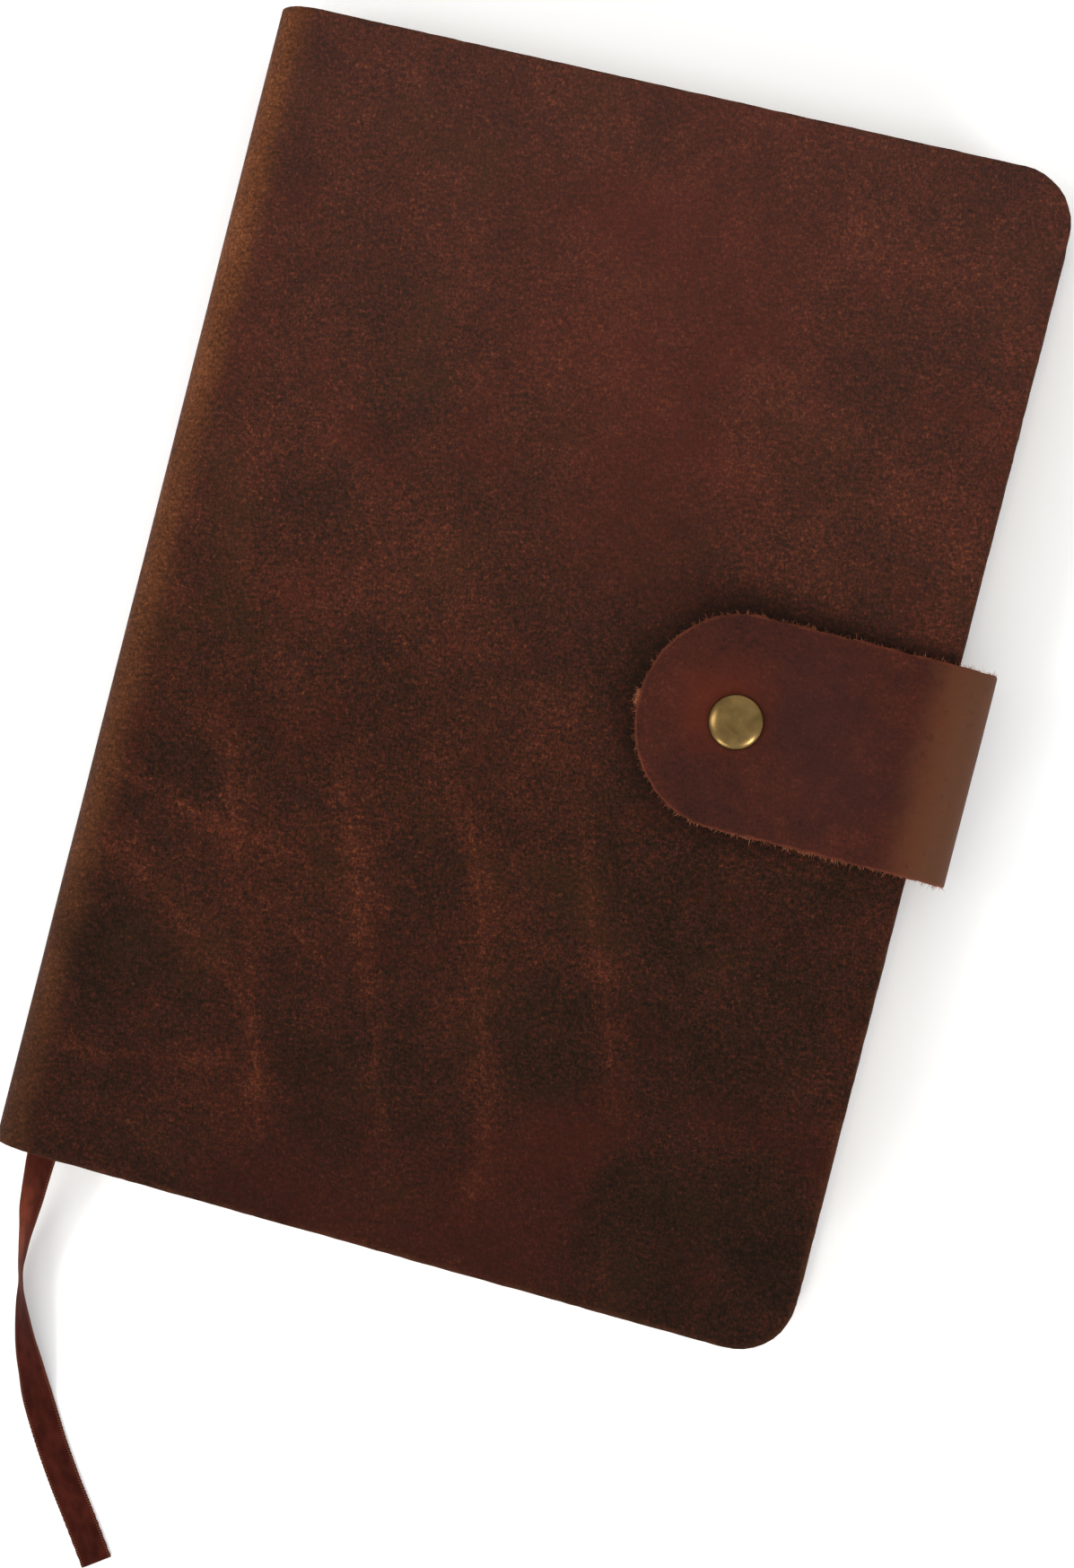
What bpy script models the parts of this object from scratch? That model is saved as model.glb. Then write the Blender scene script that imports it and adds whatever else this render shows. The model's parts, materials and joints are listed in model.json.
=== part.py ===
"""Leather notebook cover with its bound page block, snap strap and ribbon marker.

The closed book lies on its back cover. +X runs from the spine to the fore-edge, +Y from
the tail to the head and +Z up. The origin is the centre of the footprint, on the surface
that the book lies on. Metres throughout.
"""
import math

import bmesh
import bpy
from mathutils import Vector

# --- Driving dimensions ---------------------------------------------------------------
LENGTH = 0.2200            # leather cover, tail to head
WIDTH = 0.1537             # leather cover, outside of the spine to the fore-edge
LEATHER = 0.0020           # cover hide
BOARD = 0.0020             # greyboard stiffeners
ENDPAPER = 0.00025         # pastedowns and flyleaves
SIGNATURE = 0.00145        # one sewn section of eight folded sheets
SIGNATURES_PER_HALF = 3
LAYER_GAP = 0.0001         # between stacked flat layers
FIT_GAP = 0.0003           # between pieces that touch elsewhere
MARKER_SPACE = 0.0005      # between the two halves of the block, where the marker lies

CORNER_RADIUS = 0.0108     # fore-edge corners of the leather
BOARD_INSET = 0.0030       # leather edge to board edge
PAGE_INSET = 0.0045        # leather fore-edge to page fore-edge
BLOCK_LENGTH = 0.2100
BLOCK_BACK = 0.0061        # outside of the spine to the folds of the signatures
BOARD_START = 0.0120       # outside of the spine to the boards

MULL = 0.0004              # glued cloth on the back of the block
THREAD_RADIUS = 0.0003
THREAD_STATIONS = (-0.078, -0.026, 0.026, 0.078)
SPINE_SPLITS = (0, 30, 90, 150, 180)   # degrees round the spine from the back cover

STRAP_WIDTH = 0.0392
STRAP = 0.0018             # strap leather
STRAP_BEND = 0.0065        # radius of the strap's bends, to the middle of the leather
STRAP_OVERHANG = 0.0071    # fore-edge to the outside of the strap
STRAP_TIP = 0.0542         # fore-edge to the strap's tip
STRAP_TIP_DEPTH = 0.0180   # depth of the rounded end
STRAP_TAIL = 0.0340        # strap glued inside the back cover
FLAP_SLOPE = math.radians(4.2)

SNAP_INSET = 0.0363        # fore-edge to the snap's axis
SNAP_LIFT = 0.0031         # cover to the underside of the strap at the snap
CAP_RADIUS = 0.00495
SHANK_RADIUS = 0.0014
POST_RADIUS = 0.0011
HOLE_CLEARANCE = 0.0004

MARKER_WIDTH = 0.0062
MARKER = 0.0005            # a marker's solid is a little thicker than its satin

# --- Derived places -------------------------------------------------------------------
HALF_BLOCK = SIGNATURES_PER_HALF * SIGNATURE + (SIGNATURES_PER_HALF - 1) * LAYER_GAP
COVER_STACK = LEATHER + BOARD + 2 * ENDPAPER + 4 * LAYER_GAP
THICKNESS = 2 * (COVER_STACK + HALF_BLOCK) + MARKER_SPACE
MIDDLE = THICKNESS / 2
SPINE_X = -(WIDTH + STRAP_OVERHANG) / 2
FORE_X = SPINE_X + WIDTH
COVER_START = SPINE_X + MIDDLE
SNAP_X = FORE_X - SNAP_INSET
BEND_X = FORE_X + STRAP_OVERHANG - STRAP / 2 - STRAP_BEND
TAIL_Z = LEATHER + LAYER_GAP + STRAP / 2
LOW_BEND_Z = TAIL_Z + STRAP_BEND
SNAP_Z = THICKNESS + SNAP_LIFT
HIGH_BEND_Z = (
    SNAP_Z + STRAP / 2 / math.cos(FLAP_SLOPE)
    - STRAP_BEND * math.cos(FLAP_SLOPE)
    - math.tan(FLAP_SLOPE) * (BEND_X + STRAP_BEND * math.sin(FLAP_SLOPE) - SNAP_X)
)
LOW_SPLIT = -math.pi / 4
HIGH_SPLIT = math.pi / 4 - FLAP_SLOPE / 2
CIRCLE_STEPS = 32

# The marker's free end: x from the spine's outside, y, z, and how far its right-hand edge
# is lifted, in degrees.
MARKER_ROUTE = [
    (0.0094, -0.1053, 0.0097, 0),
    (0.0089, -0.1110, 0.0093, 10),
    (0.0087, -0.1156, 0.0085, 20),
    (0.0085, -0.1194, 0.0074, 27),
    (0.0083, -0.1231, 0.0064, 36),
    (0.0083, -0.1268, 0.0054, 49),
    (0.0084, -0.1304, 0.0044, 57),
    (0.0087, -0.1339, 0.0037, 64),
    (0.0095, -0.1373, 0.0033, 65),
    (0.0104, -0.1407, 0.0030, 55),
    (0.0115, -0.1440, 0.0027, 45),
    (0.0127, -0.1473, 0.0023, 35),
    (0.0141, -0.1506, 0.0018, 24),
    (0.0156, -0.1538, 0.0013, 16),
    (0.0171, -0.1571, 0.0007, 4),
    (0.0188, -0.1602, 0.0004, 0),
    (0.0226, -0.1662, 0.0004, 0),
    (0.0268, -0.1722, 0.0004, 0),
    (0.0312, -0.1780, 0.0004, 0),
    (0.0367, -0.1854, 0.0004, 0),
]
MARKER_STEPS = 3           # smooth points for each stretch of the route

PARTS = "leather_notebook_cover"
CUTTERS = "cutters"


# --- Scene, collections and materials -------------------------------------------------
def clear_scene():
    for item in list(bpy.data.objects):
        bpy.data.objects.remove(item, do_unlink=True)
    for name in (PARTS, CUTTERS):
        collection = bpy.data.collections.new(name)
        bpy.context.scene.collection.children.link(collection)


def linear(value):
    value /= 255
    return value / 12.92 if value <= 0.04045 else ((value + 0.055) / 1.055) ** 2.4


def material(name, red, green, blue, roughness, metallic=0.0):
    made = bpy.data.materials.new(name)
    made.use_nodes = True
    shader = made.node_tree.nodes["Principled BSDF"]
    shader.inputs["Base Color"].default_value = (linear(red), linear(green), linear(blue), 1)
    shader.inputs["Roughness"].default_value = roughness
    shader.inputs["Metallic"].default_value = metallic
    return made


def make_materials():
    return {
        "cover_leather": material("cover_leather", 66, 39, 29, 0.62),
        "strap_leather": material("strap_leather", 86, 45, 32, 0.60),
        "board": material("board", 150, 138, 120, 0.90),
        "endpaper": material("endpaper", 214, 196, 160, 0.85),
        "paper": material("paper", 236, 228, 206, 0.88),
        "cloth": material("cloth", 222, 216, 200, 0.95),
        "thread": material("thread", 230, 222, 200, 0.80),
        "satin": material("satin", 84, 34, 24, 0.35),
        "brass": material("brass", 150, 118, 70, 0.35, 1.0),
        "steel": material("steel", 170, 168, 160, 0.30, 1.0),
    }


def register(item, surface):
    bpy.data.collections[PARTS].objects.link(item)
    item.data.materials.append(surface)
    return item


# --- Outlines, as lists of (u, v) points ----------------------------------------------
def arc(centre_u, centre_v, radius, start, end, steps):
    """Points on a circle from angle start to angle end, both included."""
    turns = (start + (end - start) * i / steps for i in range(steps + 1))
    return [(centre_u + radius * math.cos(a), centre_v + radius * math.sin(a)) for a in turns]


def circle(centre_u, centre_v, radius):
    return arc(centre_u, centre_v, radius, 0, math.tau, CIRCLE_STEPS)[:-1]


def leaf_outline(start_x, end_x, half_y, radius):
    """A rectangle from spine to fore-edge with round corners at the fore-edge."""
    low = arc(end_x - radius, radius - half_y, radius, -math.pi / 2, 0, 8)
    high = arc(end_x - radius, half_y - radius, radius, 0, math.pi / 2, 8)
    return [(start_x, -half_y), *low, *high, (start_x, half_y)]


def board_outline(start_x, end_x, half_y, radius, notch_x, notch_half):
    """A leaf outline with a notch in its fore-edge that takes the strap's tail."""
    outline = leaf_outline(start_x, end_x, half_y, radius)
    middle = len(outline) // 2
    notch = [(end_x, -notch_half), (notch_x, -notch_half), (notch_x, notch_half),
             (end_x, notch_half)]
    return outline[:middle] + notch + outline[middle:]


def ring_sector(radius_out, radius_in, start, end, steps):
    """A piece of the spine's rounded section."""
    centre = (COVER_START, MIDDLE)
    return (arc(*centre, radius_out, start, end, steps)
            + arc(*centre, radius_in, end, start, steps))


def band(path, thickness):
    """The outline of a band of leather laid along a path of (x, z, direction) stations."""
    half = thickness / 2
    right = [(x + half * math.sin(a), z - half * math.cos(a)) for x, z, a in path]
    left = [(x - half * math.sin(a), z + half * math.cos(a)) for x, z, a in path]
    return right + left[::-1]


def bend(centre_z, start, end, steps=6):
    """Stations round one of the strap's bends."""
    turns = [start + (end - start) * i / steps for i in range(steps + 1)]
    return [(BEND_X + STRAP_BEND * math.cos(a), centre_z + STRAP_BEND * math.sin(a),
             a + math.pi / 2) for a in turns]


# --- Solids ---------------------------------------------------------------------------
def outline_curve(name, outlines, half_depth):
    """A filled flat curve, extruded by half_depth each way along its own Z."""
    data = bpy.data.curves.new(name, "CURVE")
    data.dimensions = "2D"
    data.fill_mode = "BOTH"
    data.extrude = half_depth
    for outline in outlines:
        spline = data.splines.new("POLY")
        spline.points.add(len(outline) - 1)
        for point, (u, v) in zip(spline.points, outline):
            point.co = (u, v, 0, 1)
        spline.use_cyclic_u = True
    return bpy.data.objects.new(name, data)


def plate(name, outlines, low, high, surface):
    """A flat piece between the heights low and high. Outlines after the first are holes."""
    item = outline_curve(name, outlines, (high - low) / 2)
    item.location.z = (low + high) / 2
    return register(item, surface)


def strip(name, outline, half_y, surface):
    """A piece with one section in X and Z all along Y."""
    item = outline_curve(name, [outline], half_y)
    item.rotation_euler.x = math.pi / 2
    return register(item, surface)


def as_mesh(item):
    """Turns a curve object into a closed mesh object of the same name."""
    bpy.context.view_layer.update()
    graph = bpy.context.evaluated_depsgraph_get()
    mesh = bpy.data.meshes.new_from_object(item.evaluated_get(graph))
    work = bmesh.new()
    work.from_mesh(mesh)
    bmesh.ops.remove_doubles(work, verts=work.verts, dist=0.000001)
    bmesh.ops.recalc_face_normals(work, faces=work.faces)
    work.to_mesh(mesh)
    work.free()
    name, place, homes = item.name, item.matrix_world.copy(), list(item.users_collection)
    bpy.data.objects.remove(item, do_unlink=True)
    mesh_item = bpy.data.objects.new(name, mesh)
    mesh_item.matrix_world = place
    for home in homes:
        home.objects.link(mesh_item)
    return mesh_item


def add_cutter(item):
    bpy.data.collections[CUTTERS].objects.link(item)
    made = as_mesh(item)
    made.hide_render = True
    made.display_type = "WIRE"
    return made


def apply_boolean(item, cutter, operation):
    modifier = item.modifiers.new(operation.lower(), "BOOLEAN")
    modifier.operation = operation
    modifier.solver = "EXACT"
    modifier.object = cutter


def turned(name, profile, place, surface, parent=None):
    """A turned piece. The profile of (radius, height) points runs from the top downwards."""
    mesh = bpy.data.meshes.new(name)
    edges = [(i, i + 1) for i in range(len(profile) - 1)]
    if profile[0][0] > 0:
        edges.append((len(profile) - 1, 0))
    mesh.from_pydata([(radius, 0, height) for radius, height in profile], edges, [])
    item = bpy.data.objects.new(name, mesh)
    screw = item.modifiers.new("turn", "SCREW")
    screw.steps = CIRCLE_STEPS
    screw.render_steps = CIRCLE_STEPS
    screw.use_merge_vertices = True
    screw.merge_threshold = 0.000001
    item.location = place
    item.parent = parent
    return register(item, surface)


# --- Covers and boards ----------------------------------------------------------------
def make_covers(looks):
    start = COVER_START + FIT_GAP / 2
    outline = leaf_outline(start, FORE_X, LENGTH / 2, CORNER_RADIUS)
    hole = circle(SNAP_X, 0, POST_RADIUS + HOLE_CLEARANCE)
    plate("back_cover_leather", [outline], 0, LEATHER, looks["cover_leather"])
    plate("front_cover_leather", [outline, hole], THICKNESS - LEATHER, THICKNESS,
          looks["cover_leather"])


def make_boards(looks):
    start, end = SPINE_X + BOARD_START, FORE_X - BOARD_INSET
    half_y, radius = LENGTH / 2 - BOARD_INSET, CORNER_RADIUS - BOARD_INSET
    low = LEATHER + LAYER_GAP
    notched = board_outline(start, end, half_y, radius, FORE_X - STRAP_TAIL - 2 * FIT_GAP,
                            STRAP_WIDTH / 2 + FIT_GAP)
    plate("back_board", [notched], low, low + BOARD, looks["board"])
    outline = leaf_outline(start, end, half_y, radius)
    hole = circle(SNAP_X, 0, 0.0040)
    plate("front_board", [outline, hole], THICKNESS - low - BOARD, THICKNESS - low,
          looks["board"])


def make_endpapers(looks):
    """A pastedown on each board and a flyleaf on each side of the block."""
    pasted = leaf_outline(SPINE_X + BOARD_START, FORE_X - PAGE_INSET + FIT_GAP,
                          BLOCK_LENGTH / 2 + FIT_GAP, CORNER_RADIUS - PAGE_INSET)
    free = leaf_outline(SPINE_X + BLOCK_BACK, FORE_X - PAGE_INSET, BLOCK_LENGTH / 2,
                        CORNER_RADIUS - PAGE_INSET)
    pasted_low = LEATHER + BOARD + 2 * LAYER_GAP
    free_low = pasted_low + ENDPAPER + LAYER_GAP
    for name, outline, low in (("pastedown", pasted, pasted_low), ("flyleaf", free, free_low)):
        plate(f"back_{name}", [outline], low, low + ENDPAPER, looks["endpaper"])
        plate(f"front_{name}", [outline], THICKNESS - low - ENDPAPER, THICKNESS - low,
              looks["endpaper"])


# --- Page block -----------------------------------------------------------------------
def make_signatures(looks):
    """Signature 1 lies under the front cover and the last one on the back cover."""
    outline = leaf_outline(SPINE_X + BLOCK_BACK, FORE_X - PAGE_INSET, BLOCK_LENGTH / 2,
                           CORNER_RADIUS - PAGE_INSET)
    for i in range(SIGNATURES_PER_HALF):
        low = COVER_STACK + i * (SIGNATURE + LAYER_GAP)
        plate(f"signature_{i + 1}", [outline], THICKNESS - low - SIGNATURE, THICKNESS - low,
              looks["paper"])
        plate(f"signature_{2 * SIGNATURES_PER_HALF - i}", [outline], low, low + SIGNATURE,
              looks["paper"])


def make_block_back(looks):
    """Mull cloth and sewing threads, each parted where the block opens."""
    cloth_x = SPINE_X + BLOCK_BACK - 0.0015
    thread_x = SPINE_X + BLOCK_BACK - 0.0006
    ends = (COVER_STACK, COVER_STACK + HALF_BLOCK)
    for half, (low, high) in (("back", ends), ("front", [THICKNESS - z for z in ends[::-1]])):
        section = [(cloth_x, low), (cloth_x + MULL, low), (cloth_x + MULL, high),
                   (cloth_x, high)]
        strip(f"mull_{half}", section, BLOCK_LENGTH / 2, looks["cloth"])
        for i, station in enumerate(THREAD_STATIONS):
            bpy.ops.mesh.primitive_cylinder_add(
                vertices=8, radius=THREAD_RADIUS, depth=high - low,
                location=(thread_x, station, (low + high) / 2))
            thread = bpy.context.object
            thread.name = f"sewing_thread_{half}_{i + 1}"
            for home in list(thread.users_collection):
                home.objects.unlink(thread)
            register(thread, looks["thread"])


# --- Spine ----------------------------------------------------------------------------
def make_spine(looks):
    """The rounded spine leather. Its outer strips stay with the covers, and its two middle
    strips fold along lines on the outer face."""
    trim = FIT_GAP / 2 / (MIDDLE - LEATHER / 2)
    turns = [-math.pi / 2 - math.radians(split) for split in SPINE_SPLITS]
    for i, (start, end) in enumerate(zip(turns, turns[1:])):
        section = ring_sector(MIDDLE, MIDDLE - LEATHER, start - trim, end + trim, 8)
        strip(f"spine_leather_{i + 1}", section, LENGTH / 2, looks["cover_leather"])


# --- Strap ----------------------------------------------------------------------------
def flap_station(x):
    """A station on the sloping flap's straight stretch."""
    rise = math.tan(FLAP_SLOPE) * (SNAP_X - x)
    return x, SNAP_Z + STRAP / 2 / math.cos(FLAP_SLOPE) + rise, math.pi - FLAP_SLOPE


def make_strap(looks):
    trim = FIT_GAP / 2 / STRAP_BEND
    tail = [(FORE_X - STRAP_TAIL, TAIL_Z, 0), *bend(LOW_BEND_Z, -math.pi / 2, LOW_SPLIT - trim)]
    wrap = [*bend(LOW_BEND_Z, LOW_SPLIT + trim, 0), *bend(HIGH_BEND_Z, 0, HIGH_SPLIT - trim)]
    flap = [*bend(HIGH_BEND_Z, HIGH_SPLIT + trim, math.pi / 2 - FLAP_SLOPE),
            flap_station(FORE_X - STRAP_TIP)]
    half = STRAP_WIDTH / 2
    strip("strap_tail", band(tail, STRAP), half, looks["strap_leather"])
    strip("strap_wrap", band(wrap, STRAP), half, looks["strap_leather"])
    piece = as_mesh(strip("strap_flap", band(flap, STRAP), half, looks["strap_leather"]))

    tip, margin = FORE_X - STRAP_TIP, 0.010
    end = [(tip + STRAP_TIP_DEPTH * (1 - math.cos(a)), half * math.sin(a))
           for a in (math.radians(7.5 * i - 90) for i in range(25))]
    far = FORE_X + margin
    plan = [(far, -half - margin), (tip + STRAP_TIP_DEPTH, -half - margin), *end,
            (tip + STRAP_TIP_DEPTH, half + margin), (far, half + margin)]
    keep = outline_curve("strap_end_shape", [plan], 0.02)
    keep.location.z = SNAP_Z
    apply_boolean(piece, add_cutter(keep), "INTERSECT")

    hole = outline_curve("shank_hole_shape", [circle(0, 0, SHANK_RADIUS + HOLE_CLEARANCE)], 0.01)
    hole.location = (SNAP_X, 0, SNAP_Z)
    hole.rotation_euler.y = FLAP_SLOPE
    apply_boolean(piece, add_cutter(hole), "DIFFERENCE")


# --- Snap fastener --------------------------------------------------------------------
def dome(radius, base, height, steps=8):
    """Profile points over a dome, from its crown down to its rim."""
    turns = [math.pi / 2 * i / steps for i in range(steps + 1)]
    return [(radius * math.sin(a), base + height * math.cos(a)) for a in turns]


def make_snap(looks):
    """Cap, socket and ring spring ride on the flap. Stud and post ride on the front cover."""
    frame = bpy.data.objects.new("snap_frame", None)
    frame.location = (SNAP_X, 0, SNAP_Z)
    frame.rotation_euler.y = FLAP_SLOPE
    bpy.data.collections[PARTS].objects.link(frame)
    seat, ceiling, mouth = STRAP + 0.00005, -0.0009, -0.0020
    cap = [*dome(CAP_RADIUS, seat + 0.0003, 0.0015), (CAP_RADIUS, seat), (SHANK_RADIUS, seat),
           (SHANK_RADIUS, -0.0006), (0, -0.0006)]
    turned("snap_cap", cap, (0, 0, 0), looks["brass"], frame)
    bore = SHANK_RADIUS + FIT_GAP
    socket = [(0.0043, -0.00005), (0.0043, mouth + 0.0003), (0.0040, mouth), (0.0031, mouth),
              (0.0031, ceiling), (bore, ceiling), (bore, -0.00005)]
    turned("snap_socket", socket, (0, 0, 0), looks["brass"], frame)
    bpy.ops.mesh.primitive_torus_add(
        major_radius=0.0026, minor_radius=0.0002, major_segments=CIRCLE_STEPS,
        minor_segments=8)
    spring = bpy.context.object
    spring.name = "snap_ring_spring"
    for home in list(spring.users_collection):
        home.objects.unlink(spring)
    spring.location = (0, 0, -0.0015)
    spring.parent = frame
    register(spring, looks["steel"])

    hollow = POST_RADIUS + FIT_GAP
    stud = [*dome(0.0020, 0.00155, 0.0004), (0.0020, 0.00135), (0.00175, 0.0011),
            (0.00175, 0.0005), (0.0039, 0.00045), (0.0039, 0.00005), (hollow, 0.00005),
            (hollow, 0.0013), (0, 0.0013)]
    turned("snap_stud", stud, (SNAP_X, 0, THICKNESS), looks["brass"])
    flange = -LEATHER - 0.00005
    post = [(0, 0.0010), (POST_RADIUS, 0.0010), (POST_RADIUS, flange), (0.0036, flange),
            (0.0036, flange - 0.0004), (0, flange - 0.0004)]
    turned("snap_post", post, (SNAP_X, 0, THICKNESS), looks["brass"])


# --- Ribbon marker --------------------------------------------------------------------
def smooth(route, steps):
    """Points on a smooth curve through the route's points, with their last value too."""
    rows = [Vector(row) for row in route]
    rows = [2 * rows[0] - rows[1], *rows, 2 * rows[-1] - rows[-2]]
    made = []
    for a, b, c, d in zip(rows, rows[1:], rows[2:], rows[3:]):
        for i in range(steps):
            t = i / steps
            made.append(0.5 * (2 * b + (c - a) * t + (2 * a - 5 * b + 4 * c - d) * t * t
                               + (3 * b - a - 3 * c + d) * t ** 3))
    return [*made, rows[-2]]


def make_marker(looks):
    inner_x, inner_y = SPINE_X + BLOCK_BACK + 0.0003, BLOCK_LENGTH / 2
    outline = [(inner_x, -inner_y), (inner_x + MARKER_WIDTH, -inner_y),
               (inner_x + MARKER_WIDTH, inner_y - 0.001), (inner_x, inner_y - 0.001)]
    plate("ribbon_marker_inner", [outline], MIDDLE - LAYER_GAP, MIDDLE + LAYER_GAP,
          looks["satin"])

    data = bpy.data.curves.new("ribbon_marker_tail", "CURVE")
    data.dimensions = "3D"
    data.twist_mode = "Z_UP"
    data.use_fill_caps = True
    data.bevel_resolution = 1
    data.bevel_depth = MARKER / 2
    data.extrude = (MARKER_WIDTH - MARKER) / 2
    points = smooth(MARKER_ROUTE, MARKER_STEPS)
    spline = data.splines.new("POLY")
    spline.points.add(len(points) - 1)
    for point, (x, y, z, lift) in zip(spline.points, points):
        point.co = (SPINE_X + x, y, z, 1)
        point.tilt = math.radians(90 - lift)
    register(bpy.data.objects.new("ribbon_marker_tail", data), looks["satin"])


def shade_round_pieces():
    for item in bpy.data.collections[PARTS].objects:
        if item.type == "MESH" and item.modifiers.get("turn"):
            item.data.shade_smooth()
            item.modifiers["turn"].use_smooth_shade = True


clear_scene()
finishes = make_materials()
make_covers(finishes)
make_boards(finishes)
make_endpapers(finishes)
make_signatures(finishes)
make_block_back(finishes)
make_spine(finishes)
make_strap(finishes)
make_snap(finishes)
make_marker(finishes)
shade_round_pieces()
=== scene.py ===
"""Looks for the leather notebook: hide, strap, snap, ribbon marker and page block."""
import json
import math
import random

import bmesh
import bpy
from mathutils import Matrix, Vector, noise


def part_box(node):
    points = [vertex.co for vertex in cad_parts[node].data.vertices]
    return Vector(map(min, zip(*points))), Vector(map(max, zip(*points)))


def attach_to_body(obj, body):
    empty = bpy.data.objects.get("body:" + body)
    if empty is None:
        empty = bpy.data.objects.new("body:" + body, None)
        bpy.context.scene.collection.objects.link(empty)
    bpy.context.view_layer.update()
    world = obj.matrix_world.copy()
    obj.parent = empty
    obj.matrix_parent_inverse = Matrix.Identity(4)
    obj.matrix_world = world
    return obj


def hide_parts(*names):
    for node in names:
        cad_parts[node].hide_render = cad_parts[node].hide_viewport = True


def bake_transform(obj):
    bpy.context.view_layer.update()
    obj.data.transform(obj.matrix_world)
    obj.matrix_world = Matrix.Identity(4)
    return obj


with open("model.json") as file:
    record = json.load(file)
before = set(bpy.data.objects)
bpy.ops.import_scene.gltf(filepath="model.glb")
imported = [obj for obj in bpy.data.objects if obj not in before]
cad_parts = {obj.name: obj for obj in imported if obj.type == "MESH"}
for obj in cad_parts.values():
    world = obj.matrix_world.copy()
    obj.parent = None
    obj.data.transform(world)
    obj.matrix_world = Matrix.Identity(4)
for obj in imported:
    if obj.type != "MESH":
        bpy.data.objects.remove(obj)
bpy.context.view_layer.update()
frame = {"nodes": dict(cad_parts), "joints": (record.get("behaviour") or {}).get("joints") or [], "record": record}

# --- Places, from the imported part and the record, with the corner radius given
cover_low, cover_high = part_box("front_cover_leather")
tail_low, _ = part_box("strap_tail")
page_low, page_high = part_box("signature_1")

THICKNESS = cover_high.z
MIDDLE = THICKNESS / 2
LEATHER = cover_high.z - cover_low.z
HALF_Y = cover_high.y
FORE_X = cover_high.x
SPINE_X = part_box("spine_leather_2")[0].x
ROUND_X = SPINE_X + MIDDLE            # centre of the rounded spine
CORNER = 0.0108                       # radius of both covers' corners
GUTTER_X = next(Vector(j["pos_m"]).x for j in frame["joints"] if j["name"] == "book_open")


# --- Camera
def make_camera():
    camera = bpy.data.objects.new("camera", bpy.data.cameras.new("camera"))
    bpy.context.scene.collection.objects.link(camera)
    camera.location = (0.0775, -0.0155, 0.5639)
    turn = (Matrix.Rotation(math.radians(-0.44), 3, "X")
            @ Matrix.Rotation(math.radians(7.66), 3, "Y")
            @ Matrix.Rotation(math.radians(14.36), 3, "Z"))
    camera.rotation_euler = turn.to_euler()
    camera.data.sensor_fit = "AUTO"
    camera.data.sensor_width = 36
    camera.data.lens = 68.94
    camera.data.clip_start, camera.data.clip_end = 0.01, 10
    bpy.context.scene.camera = camera


make_camera()

# --- Ribbon marker's free end
# x from the spine's outside, y, z, and how far its right-hand edge is lifted, in degrees.
MARKER_ROUTE = [
    (0.0094, -0.1053, 0.0097, 0),
    (0.0089, -0.1110, 0.0093, 10),
    (0.0087, -0.1156, 0.0085, 20),
    (0.0085, -0.1194, 0.0074, 27),
    (0.0083, -0.1231, 0.0064, 36),
    (0.0083, -0.1268, 0.0054, 49),
    (0.0084, -0.1304, 0.0044, 57),
    (0.0087, -0.1339, 0.0037, 64),
    (0.0095, -0.1373, 0.0033, 65),
    (0.0104, -0.1407, 0.0030, 55),
    (0.0115, -0.1440, 0.0027, 45),
    (0.0127, -0.1473, 0.0023, 35),
    (0.0141, -0.1506, 0.0018, 24),
    (0.0156, -0.1538, 0.0013, 16),
    (0.0171, -0.1571, 0.0007, 4),
    (0.0188, -0.1602, 0.0004, 0),
    (0.0226, -0.1662, 0.0004, 0),
    (0.0268, -0.1722, 0.0004, 0),
    (0.0312, -0.1780, 0.0004, 0),
    (0.0367, -0.1854, 0.0004, 0),
]
MARKER_WIDTH = 0.0062
MARKER_SATIN = 0.00022                # its thickness
PICOT = 0.00048                       # from one loop of its woven edge to the next


def smooth(route, steps):
    """Points on a smooth curve through the route's points, with their last value too."""
    rows = [Vector(row) for row in route]
    rows = [2 * rows[0] - rows[1], *rows, 2 * rows[-1] - rows[-2]]
    made = []
    for a, b, c, d in zip(rows, rows[1:], rows[2:], rows[3:]):
        for i in range(steps):
            t = i / steps
            made.append(0.5 * (2 * b + (c - a) * t + (2 * a - 5 * b + 4 * c - d) * t * t
                               + (3 * b - a - 3 * c + d) * t ** 3))
    return [*made, rows[-2]]


# --- Mesh helpers
def mesh_object(name, verts, faces, material, smooth_shade=True):
    mesh = bpy.data.meshes.new(name)
    mesh.from_pydata([tuple(v) for v in verts], [], faces)
    mesh.validate()
    mesh.update()
    item = bpy.data.objects.new(name, mesh)
    bpy.context.scene.collection.objects.link(item)
    if smooth_shade:
        mesh.shade_smooth()
    mesh.materials.append(material)
    return item


def add_numbers(item, **named):
    """Attributes of one number for each vertex."""
    for name, values in named.items():
        item.data.attributes.new(name, "FLOAT", "POINT").data.foreach_set("value", values)


def add_vectors(item, name, values):
    made = item.data.attributes.new(name, "FLOAT_VECTOR", "POINT")
    made.data.foreach_set("vector", [x for v in values for x in v])


def sharpen(item, degrees, outward=True):
    """Marks edges sharper than this, so that smooth shading stops at them. outward also
    turns a closed piece's faces to the outside."""
    item.data.update()
    work = bmesh.new()
    work.from_mesh(item.data)
    limit = math.radians(degrees)
    if outward:
        bmesh.ops.recalc_face_normals(work, faces=work.faces)
    for edge in work.edges:
        edge.smooth = len(edge.link_faces) == 2 and edge.calc_face_angle(0) < limit
    work.to_mesh(item.data)
    work.free()


def attach(item, body, slot, *nodes):
    """Rides the piece on a body, in place of CAD nodes. slot, its finish, is not used."""
    if nodes:
        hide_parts(*nodes)
    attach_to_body(item, body)


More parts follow.
